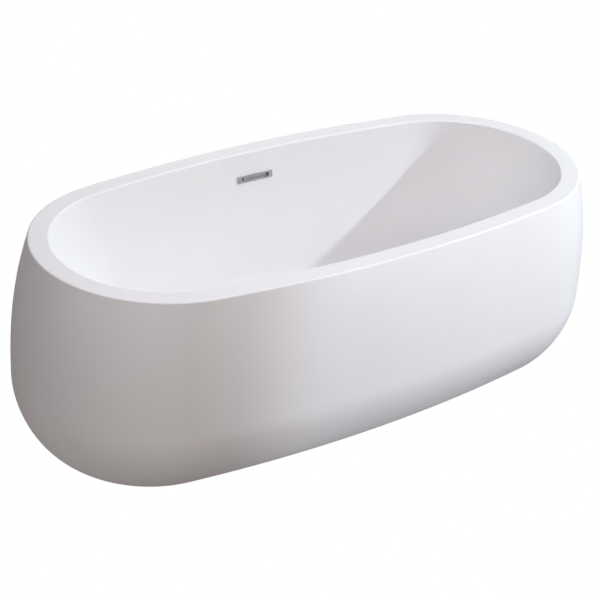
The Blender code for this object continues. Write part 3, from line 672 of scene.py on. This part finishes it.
def screw(node, flats, head, radius, depth, pitch, steps=24):
    """Hex bolt or screw, head down, with a washer face and a rolled thread."""
    low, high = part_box(node)
    face, washer, washer_radius, neck = low.z + head, 0.0003, flats / 2 * 0.94, 0.0004
    rows = hex_rows(flats, low.z, face - washer, steps, high_chamfer=False)
    rows += [circle(washer_radius, face - washer, steps), circle(washer_radius, face, steps)]
    rows += [circle(radius + neck, face, steps), circle(radius, face + neck, steps)]
    rows += thread(radius, depth, pitch, face + 0.001, high.z - 0.0008, steps)
    rows.append(circle(radius - depth, high.z, steps))
    return stand_on(loft(node, rows, False, ZINC), node)


def threaded_stud(node):
    """Foot stud with a chamfer at each end."""
    low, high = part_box(node)
    steps, depth = 28, 0.0009
    core = STUD_RADIUS - depth
    rows = [circle(core, low.z, steps)]
    rows += thread(STUD_RADIUS, depth, STUD_PITCH, low.z + depth, high.z - depth, steps)
    rows.append(circle(core, high.z, steps))
    return stand_on(loft(node, rows, False, ZINC), node)


def hex_nut(node, flats, bore, depth, pitch, material, steps):
    """Chamfered nut with its thread inside."""
    low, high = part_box(node)
    lead = 0.001
    rows = hex_rows(flats, low.z, high.z, steps)
    rows.append(circle(bore + lead, high.z, steps))
    rows += thread(bore, -depth, pitch, low.z + lead, high.z - lead, steps)[::-1]
    rows.append(circle(bore + lead, low.z, steps))
    return stand_on(loft(node, rows, True, material), node)


def foot_nut(node):
    """Lock nut of a foot stud."""
    return hex_nut(node, STUD_NUT_FLATS, STUD_BORE, 0.0007, STUD_PITCH, ZINC, 36)


def foot_pad(node):
    """Moulded pad: ribbed cone, grip round its edge, rings of tread underneath."""
    low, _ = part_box(node)
    tread = []
    for ring in range(4):
        inner = 0.0035 + 0.005 * ring
        tread += [(inner, 0.0008), (inner + 0.0004, 0.0), (inner + 0.0031, 0.0), (inner + 0.0035, 0.0008)]
    body = [(0.0238, 0.0), (0.0250, 0.0008), (0.0250, 0.0048), (0.0235, 0.0056), (0.0145, 0.0086),
            (0.0115, 0.0125), (0.0105, 0.0160), (STUD_BORE, 0.0160), (STUD_BORE, 0.006)]
    profile = tread + soften(body, 0.0009, closed=False)

    def ribs(radius, angle):
        """Eight ribs on the cone and a knurl round the edge."""
        wave = (0.5 + 0.5 * math.cos(8 * angle)) ** 6
        if radius > 0.0245:
            return radius - 0.0006 * (0.5 - 0.5 * math.cos(48 * angle))
        if 0.0118 < radius < 0.0236:
            return radius + 0.0012 * wave * math.sin(math.pi * (radius - 0.0118) / 0.0118)
        return radius

    rows = []
    for radius, z in profile:
        trim = ribs if 0.001 < z < 0.0158 and radius > 0.011 else None
        rows.append(circle(radius, z, 96, trim))
    return stand_on(loft(node, rows, False, RUBBER), node, low.z)


# ---- overflow -------------------------------------------------------------------------------------
def rectangle_rows(sizes, corner):
    """Rows facing along Y from (half length, half height, y) sizes."""
    return [[(x, y, z) for x, z in rectangle(a, b, min(corner, 0.9 * b))] for a, b, y in sizes]


def flat_ring(name, outer, inner, low, high, edge, corner, material):
    """A rectangular ring that faces along Y, with rounded edges."""
    width = 4 * edge
    sizes = []
    for across, y in soften([(0, low), (0, high), (width, high), (width, low)], edge):
        size = (outer[0] - across, outer[1] - across)
        if across > width / 2:
            size = (inner[0] + width - across, inner[1] + width - across)
        sizes.append((*size, y))
    return moved(loft(name, rectangle_rows(sizes, corner), True, material), OVERFLOW_POINT, OVERFLOW_TILT)


def overflow_frame():
    """Slim frame of the cover, with a broken front edge."""
    return flat_ring("cover", COVER_OUTER, COVER_INNER, COVER_FRONT, COVER_BACK, 0.0006, 0.0016, SATIN_CHROME)


def overflow_plate():
    """Sunk plate, with a pressed groove along it."""
    high = COVER_INNER[1] - CLEAR
    half, front, edge = (high - PLATE_LOW) / 2, COVER_FRONT + 0.0018, 0.0005
    sizes = []
    for inset, y in ((0, COVER_BACK), (0, front + edge), (0.3 * edge, front + 0.3 * edge), (edge, front)):
        sizes.append((PLATE_HALF_LENGTH - inset, half - inset, y))
    sizes.append((PLATE_HALF_LENGTH - 0.0030, half - 0.0016, front))
    sizes.append((PLATE_HALF_LENGTH - 0.0035, half - 0.0019, front + 0.0003))
    piece = loft("plate", rectangle_rows(sizes, 0.0006), False, SATIN_CHROME)
    return moved(moved(piece, (0, 0, (PLATE_LOW + high) / 2)), OVERFLOW_POINT, OVERFLOW_TILT)


def overflow_gasket():
    """Flat gasket round the slot, between the wall and the housing."""
    outer, inner = (0.060, 0.015), (0.050, 0.006)
    return flat_ring("gasket", outer, inner, SKIN + 0.0012, SKIN + 0.0032, 0.0006, 0.003, RUBBER)


RIB_PLACES, RIB_HEIGHT = (-0.045, -0.015, 0.0, 0.015, 0.045), 0.0008


def overflow_housing():
    """Moulded chamber behind the wall, with ribs across its back and an upright outlet."""
    length, height = HOUSING_HALF
    room = (length - HOUSING_WALL, height - HOUSING_WALL)
    edge = 0.0016
    sizes = [(*room, HOUSING_BACK - HOUSING_WALL), (*room, HOUSING_FRONT), (length, height, HOUSING_FRONT)]
    for inset, y in arc(edge, (-edge, HOUSING_BACK - edge - RIB_HEIGHT), 0, 90, 4):
        sizes.append((length + inset, height + inset, y))
    piece = loft("housing", rectangle_rows(sizes, 0.003), False, PLASTIC)
    for x in RIB_PLACES:
        rib = [(0.0006, height - 0.0005, HOUSING_FRONT + 0.012), (0.0006, height - 0.0015, HOUSING_BACK)]
        combine(piece, moved(loft("rib", rectangle_rows(rib, 0.0002), False), (x, 0, 0)), "UNION")
    moved(piece, OVERFLOW_POINT, OVERFLOW_TILT)
    combine(piece, moved(tool(OUTLET_RADIUS, OUTLET_LOW, OUTLET_HIGH), SPIGOT), "UNION")
    combine(piece, moved(tool(OUTLET_BORE, OUTLET_LOW - 0.006, 0.0), SPIGOT), "DIFFERENCE")
    for side in (-1, 1):
        bit = along_y(tool(SCREW_RADIUS + CLEAR, HOUSING_BACK - 0.01, HOUSING_BACK + 0.01, 16))
        moved(bit, (COVER_SCREW_X * side, 0, COVER_SCREW_Z))
        combine(piece, moved(bit, OVERFLOW_POINT, OVERFLOW_TILT), "DIFFERENCE")
    return piece


def overflow_screw(side):
    """Pan-head screw with a cross recess."""
    head, steps = HOUSING_BACK + CLEAR, 28
    start = COVER_BACK + CLEAR
    rows = [circle(0.0013, start, steps)]
    rows += thread(SCREW_RADIUS, 0.0004, 0.0007, start + 0.0006, head - 0.0005, steps)
    dome = [(SCREW_RADIUS, head), (0.0038, head), (0.0038, head + 0.0011), (0.0033, head + 0.0019),
            (0.0023, head + 0.0024), (0.0010, head + 0.0025)]
    rows += [circle(radius, z, steps) for radius, z in dome]
    piece = loft("screw", rows, False, ZINC)
    for turn in (0, math.pi / 2):
        blade = [[(x, y, z) for x, y in rectangle(0.0020, 0.0004)] for z in (head + 0.0010, head + 0.004)]
        combine(piece, moved(loft("blade", blade, False), (0, 0, 0), (0, 0, turn)), "DIFFERENCE")
    along_y(piece)
    moved(piece, (COVER_SCREW_X * side, 0, COVER_SCREW_Z))
    return moved(piece, OVERFLOW_POINT, OVERFLOW_TILT)


def spline_points(route, per_span):
    """A smooth Catmull-Rom curve through route points."""
    points = [Vector(p) for p in route]
    padded = [2 * points[0] - points[1]] + points + [2 * points[-1] - points[-2]]
    result = []
    for i in range(1, len(padded) - 2):
        a, b, c, d = padded[i - 1:i + 3]
        for k in range(per_span):
            t = k / per_span
            result.append(0.5 * (2 * b + (c - a) * t + (2 * a - 5 * b + 4 * c - d) * t * t
                                 + (3 * b - a - 3 * c + d) * t ** 3))
    result.append(points[-1])
    return result


def overflow_pipe():
    """Corrugated pipe with plain cuffs, from the housing down into the tee."""
    _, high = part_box("overflow_pipe")
    radius, bore = high.x, high.x - PIPE_WALL
    route = [
        (0, SPIGOT.y, high.z), (0, SPIGOT.y, high.z - 0.05), (0, SPIGOT.y - 0.003, 0.34), (0, 0.316, 0.22),
        (0, 0.286, 0.128), (0, 0.228, 0.078), (0, 0.150, TEE_AXIS_Z), (0, 0.095, TEE_AXIS_Z),
        (0, 0.044, TEE_AXIS_Z),
    ]
    centres = spline_points(route, 60)
    ridge, cuff_top, cuff_low, depth = 0.0068, 0.030, 0.052, 0.0013
    travelled = [0.0]
    for before, after in zip(centres, centres[1:]):
        travelled.append(travelled[-1] + (after - before).length)
    rows_out, rows_in = [], []
    across = Vector((1, 0, 0))
    down = Vector((0, 0, -1))
    for i, middle in enumerate(centres):
        before, after = centres[max(i - 1, 0)], centres[min(i + 1, len(centres) - 1)]
        up = (after - before).normalized().cross(across) if i else down.cross(across)
        along, left = travelled[i], travelled[-1] - travelled[i]
        fade = max(0.0, min(1.0, (along - cuff_top) / 0.004, (left - cuff_low) / 0.004))
        wave = 0.5 - 0.5 * math.cos(2 * math.pi * along / ridge)
        r = radius - depth * fade * wave
        rows_out.append([tuple(middle + across * a * r + up * b * r) for a, b, _ in circle(1, 0, 28)])
        if i % 6 == 0:
            rows_in.append([tuple(middle + (across * a + up * b) * bore) for a, b, _ in circle(1, 0, 28)])
    return loft("pipe", rows_out + rows_in[::-1], True, PLASTIC)


def union_nut(node, radius, along):
    """Hand nut with finger grooves, upright or along Y."""
    low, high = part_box(node)
    height = (high.y - low.y) if along else (high.z - low.z)
    profile = soften([(radius, 0), (radius, height), (PIPE_SOCKET, height), (PIPE_SOCKET, 0)], 0.0012)
    piece = turned(node, profile, True, PLASTIC, 120, grip(14, 0.0011, radius - 0.002))
    if along:
        return along_y(piece, (0, low.y, TEE_AXIS_Z))
    return stand_on(piece, node, low.z)


# ---- waste and plug -------------------------------------------------------------------------------
def waste_flange():
    """Chromed flange with a rounded lip, and a threaded tail."""
    low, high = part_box("waste_flange")
    top, under, steps = high.z, high.z - FLANGE_THICK, 72
    face = [(TAIL_RADIUS, under), (FLANGE_RADIUS, under), (FLANGE_RADIUS, top - 0.0008),
            (FLANGE_RADIUS - 0.002, top), (0.0258, top),
            (0.0236, top - 0.0008), (TAIL_BORE, top - 0.0034), (TAIL_BORE, low.z),
            (TAIL_RADIUS - 0.0006, low.z)]
    rows = thread(TAIL_RADIUS, 0.0008, TAIL_PITCH, low.z + 0.0008, under - 0.0008, steps)
    rows += [circle(radius, z, steps) for radius, z in soften(face, 0.0007, closed=False)]
    return loft("flange", rows, True, CHROME)


def ring_of(node, inner, material, edge, trim=None):
    """A ring with rounded edges, as wide and as high as its CAD node."""
    low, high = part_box(node)
    outer = high.x
    profile = soften([(outer, low.z), (outer, high.z), (inner, high.z), (inner, low.z)], edge)
    return turned(node, profile, True, material, 96, trim)


def waste_lock_nut():
    """Large nut that clamps the waste to the basin floor."""
    return hex_nut("waste_lock_nut", LOCK_NUT_FLATS, TAIL_RADIUS + CLEAR, 0.0006, TAIL_PITCH, PLASTIC, 72)


def strainer_disc():
    """Perforated guide disc inside the tail."""
    low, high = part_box("strainer_disc")
    outer, inner = high.x, 0.0046
    profile = soften([(outer, low.z), (outer, high.z), (inner, high.z), (inner, low.z)], 0.0004)
    piece = turned("strainer", profile, True, CHROME, 72)
    hole, ring = 0.0038, 0.0118
    for number in range(6):
        angle = math.pi / 3 * number + 0.05
        bit = tool(hole, low.z - 0.01, high.z + 0.01, 24)
        combine(piece, moved(bit, (ring * math.cos(angle), ring * math.sin(angle), 0)), "DIFFERENCE")
    return piece


def waste_tee():
    """Moulded body: socket for the tail, side inlet for the overflow, outlet below."""
    profile = [
        (0.0290, 0.1190), (0.0240, 0.1190), (0.0240, 0.0840), (0.0205, 0.0840), (0.0205, 0.0500),
        (0.0175, 0.0440), (0.0175, 0.0300), (0.0200, 0.0300), (0.0200, 0.0430), (0.0235, 0.0470),
        (0.0235, 0.0820), (0.0290, 0.0880),
    ]

    def ribs(radius, angle):
        """Stiffening ribs down the socket."""
        return radius if radius < 0.0282 else radius - 0.0009 * (0.5 - 0.5 * math.cos(24 * angle))

    piece = turned("tee", soften(profile, 0.0009), True, PLASTIC, 96, ribs)
    inlet = tool(INLET_RADIUS, INLET_START, INLET_END, 40)
    combine(piece, along_y(inlet, (0, 0, TEE_AXIS_Z)), "UNION")
    bore = tool(PIPE_SOCKET, 0.010, 0.070, 40)
    return combine(piece, along_y(bore, (0, 0, TEE_AXIS_Z)), "DIFFERENCE")


def plug_cap():
    """Domed cap with a rolled edge."""
    low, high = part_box("plug_cap")
    radius, under = high.x, low.z
    rise = high.z - under
    profile = [(0.0030, under), (0.0315, under), (0.0328, under + 0.0003), (radius, under + 0.0011)]
    for angle in steps_between(8, 90, 16):
        c, s = math.cos(math.radians(angle)), math.sin(math.radians(angle))
        profile.append((max(0.0004, radius * c ** 0.72), under + 0.0014 + (rise - 0.0014) * s))
    return turned("cap", profile, False, CHROME, 96)


def plug_stem():
    """Guide stem with a groove for its clip."""
    low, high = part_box("plug_stem")
    radius = high.x
    groove = low.z + 0.004
    core = radius - 0.0007
    profile = [(radius - 0.001, low.z), (radius, low.z + 0.001), (radius, groove), (core, groove + 0.0002),
               (core, groove + 0.0012), (radius, groove + 0.0014), (radius, high.z)]
    return turned("stem", profile, False, CHROME, 36)


def plug_spring():
    """Coil of round wire. Its end turns lie flat, as ground ends do."""
    low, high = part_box("plug_spring")
    wire, turns, steps = 0.0007, 5, 40
    radius = high.x - wire
    rows = []
    for i in range(turns * steps + 1):
        angle = 2 * math.pi * i / steps
        share = i / (turns * steps)
        eased = share - 0.9 / (2 * math.pi) * math.sin(2 * math.pi * share)
        height = low.z + wire + (high.z - low.z - 2 * wire) * eased
        outward = Vector((math.cos(angle), math.sin(angle), 0))
        middle = outward * radius + Vector((0, 0, height))
        rows.append([tuple(middle + outward * a + Vector((0, 0, b))) for a, b, _ in circle(wire, 0, 10)])
    return loft("spring", rows, False, ZINC)


# ---- assembly -------------------------------------------------------------------------------------
def build_shells():
    stand_for(inner_basin(), "inner_basin")
    stand_for(outer_skirt(), "outer_skirt")


def build_support():
    stand_for(floor_board(), "floor_board")
    for node in ("front_long_rail", "back_long_rail"):
        stand_for(rail(node, True), node)
    for node in ("left_cross_rail", "left_inner_cross_rail", "right_inner_cross_rail", "right_cross_rail"):
        stand_for(rail(node, False), node)
    for node in BOLT_NODES:
        stand_for(screw(node, BOLT_FLATS, BOLT_HEAD, BOLT_RADIUS, 0.0006, BOLT_PITCH), node)
    for node in SCREW_NODES:
        stand_for(screw(node, SCREW_FLATS, SCREW_HEAD, SCREW_RADIUS, 0.0005, SCREW_PITCH), node)
    for number in range(1, 5):
        for make, kind in ((foot_pad, "pad"), (threaded_stud, "stud"), (foot_nut, "nut")):
            stand_for(make(f"foot_{kind}_{number}"), f"foot_{kind}_{number}")


def build_overflow():
    for make in (overflow_frame, overflow_plate, overflow_gasket, overflow_housing):
        stand_for(make(), make.__name__)
    stand_for(overflow_screw(-1), "left_overflow_screw")
    stand_for(overflow_screw(1), "right_overflow_screw")
    stand_for(overflow_pipe(), "overflow_pipe")
    stand_for(union_nut("upper_pipe_nut", 0.0190, False), "upper_pipe_nut")
    stand_for(union_nut("lower_pipe_nut", 0.0235, True), "lower_pipe_nut")


def build_waste():
    stand_for(waste_flange(), "waste_flange")
    stand_for(ring_of("waste_upper_gasket", 0.0270, RUBBER, 0.0005), "waste_upper_gasket")
    stand_for(ring_of("waste_lower_gasket", 0.0245, RUBBER, 0.0010), "waste_lower_gasket")
    for make in (waste_lock_nut, strainer_disc, waste_tee):
        stand_for(make(), make.__name__)
    grooves = grip(16, 0.0012, 0.025)
    stand_for(ring_of("waste_outlet_nut", 0.0203, PLASTIC, 0.0010, grooves), "waste_outlet_nut")
    stand_for(ring_of("waste_tailpiece", 0.0148, PLASTIC, 0.0006), "waste_tailpiece")


def build_plug():
    stand_for(plug_cap(), "plug_cap")
    stand_for(ring_of("plug_seal", 0.0245, RUBBER, 0.0007), "plug_seal")
    stand_for(plug_stem(), "plug_stem")
    spring = stand_for(plug_spring(), "plug_spring", "root")
    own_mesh(spring)


# ---- stage, lights and camera ---------------------------------------------------------------------
CAMERA_PLACE = Vector((-2.230, -3.003, 2.399))
CAMERA_YAW, CAMERA_PITCH, CAMERA_ROLL = 0.6299, 0.5187, 0.0661   # radians
CAMERA_LENS = 95.8                        # mm on a 36 mm sensor


def camera():
    """The main view, from in front, left and above."""
    ahead = Vector((math.sin(CAMERA_YAW) * math.cos(CAMERA_PITCH),
                    math.cos(CAMERA_YAW) * math.cos(CAMERA_PITCH), -math.sin(CAMERA_PITCH)))
    level = Vector((math.cos(CAMERA_YAW), -math.sin(CAMERA_YAW), 0))
    up = level.cross(ahead)
    right = level * math.cos(CAMERA_ROLL) + up * math.sin(CAMERA_ROLL)
    up = up * math.cos(CAMERA_ROLL) - level * math.sin(CAMERA_ROLL)
    data = bpy.data.cameras.new("camera")
    data.sensor_width = 36.0
    data.lens = CAMERA_LENS
    data.clip_end = 200.0
    eye = bpy.data.objects.new("camera", data)
    eye.matrix_world = Matrix.Translation(CAMERA_PLACE) @ Matrix((right, up, -ahead)).transposed().to_4x4()
    bpy.context.scene.collection.objects.link(eye)
    bpy.context.scene.camera = eye


def polar(distance, azimuth, elevation, base):
    """A place round the tub. Azimuth runs from +X towards +Y, in degrees."""
    a, e = math.radians(azimuth), math.radians(elevation)
    return Vector((distance * math.cos(e) * math.cos(a), distance * math.cos(e) * math.sin(a),
                   base + distance * math.sin(e)))


def lamp(kind, name, location, target, power, colour):
    """A light that points its -Z at a target."""
    data = bpy.data.lights.new(name, kind)
    data.energy = power
    data.color = colour
    light = bpy.data.objects.new(name, data)
    light.location = location
    light.rotation_mode = "QUATERNION"
    light.rotation_quaternion = (Vector(target) - light.location).to_track_quat("-Z", "Y")
    bpy.context.scene.collection.objects.link(light)
    return data


def softbox(name, location, size, target, power, colour):
    """A rectangular area light."""
    data = lamp("AREA", name, location, target, power, colour)
    data.shape = "RECTANGLE"
    data.size, data.size_y = size


def lights():
    """A cool key at the right, a soft-edged fill on the right of the front, and softboxes all round."""
    middle = (0, 0, 0.29)
    key = lamp("POINT", "key", polar(3.4, -20, 26, 0.5), middle, 255, (0.87, 0.98, 1.0))
    key.shadow_soft_size = 0.05
    fill = lamp("SPOT", "front_fill", (1.376, -3.268, 0.35), (0.8, -0.37, 0.3), 151, (0.82, 0.88, 1.0))
    fill.spot_size, fill.spot_blend = math.radians(43.9), 0.354
    fill.shadow_soft_size = 0.05
    square = (1.8, 1.8)
    softbox("front_left_low", polar(3.2, -135, 12, 0.3), square, middle, 10.7, (1.0, 1.0, 1.0))
    softbox("front_high", polar(3.2, -90, 45, 0.3), square, middle, 37.2, (1.0, 0.88, 0.88))
    softbox("left_low", polar(3.2, 180, 12, 0.3), square, middle, 9.6, (1.0, 0.87, 0.91))
    softbox("back_high", (0, 1.2, 2.2), (2.4, 1.0), (0, 0, 0.5), 17.2, (1.0, 0.94, 0.90))
    softbox("behind", polar(3.2, 62, 0, 0.3), (1.8, 0.5), middle, 15, (1.0, 0.96, 0.93))
    softbox("overhead", (0, 0, 3.0), (2.0, 2.0), middle, 24.5, (0.79, 0.85, 1.0))


def surroundings():
    """Warm light from below the horizon, as a pale floor gives back."""
    world = bpy.data.worlds.new("studio")
    world.use_nodes = True
    tree = world.node_tree
    background = tree.nodes["Background"]
    background.inputs["Color"].default_value = (1.0, 0.90, 0.86, 1.0)
    direction = tree.nodes.new("ShaderNodeTexCoord")
    split = tree.nodes.new("ShaderNodeSeparateXYZ")
    tree.links.new(direction.outputs["Generated"], split.inputs["Vector"])
    below = tree.nodes.new("ShaderNodeMapRange")
    below.inputs["From Min"].default_value, below.inputs["From Max"].default_value = 0.01, -0.01
    below.inputs["To Max"].default_value = 0.25
    tree.links.new(split.outputs["Z"], below.inputs["Value"])
    tree.links.new(below.outputs["Result"], background.inputs["Strength"])
    bpy.context.scene.world = world


def backdrop(name, mesh):
    """A stage piece that glows white for the camera and gives the tub no light."""
    data = bpy.data.meshes.new(name)
    mesh.to_mesh(data)
    mesh.free()
    piece = bpy.data.objects.new(name, data)
    bpy.context.scene.collection.objects.link(piece)
    paint = Paint(name, (0.0, 0.0, 0.0), 0.9)
    paint.shader.inputs["Emission Color"].default_value = (1.0, 1.0, 1.0, 1.0)
    paint.shader.inputs["Emission Strength"].default_value = 1.0
    paint.shader.inputs["Specular IOR Level"].default_value = 0.0
    data.materials.append(paint.material)
    piece.visible_diffuse = False
    piece.visible_glossy = False
    piece.visible_shadow = False


def stage():
    """A white floor and a white dome round it."""
    floor = bmesh.new()
    bmesh.ops.create_grid(floor, x_segments=2, y_segments=2, size=30.0)
    backdrop("floor", floor)
    dome = bmesh.new()
    bmesh.ops.create_uvsphere(dome, u_segments=48, v_segments=24, radius=29.0)
    backdrop("dome", dome)


camera()
lights()
surroundings()
stage()
bpy.context.scene.view_settings.view_transform = "Standard"
build_shells()
build_support()
build_overflow()
build_waste()
build_plug()
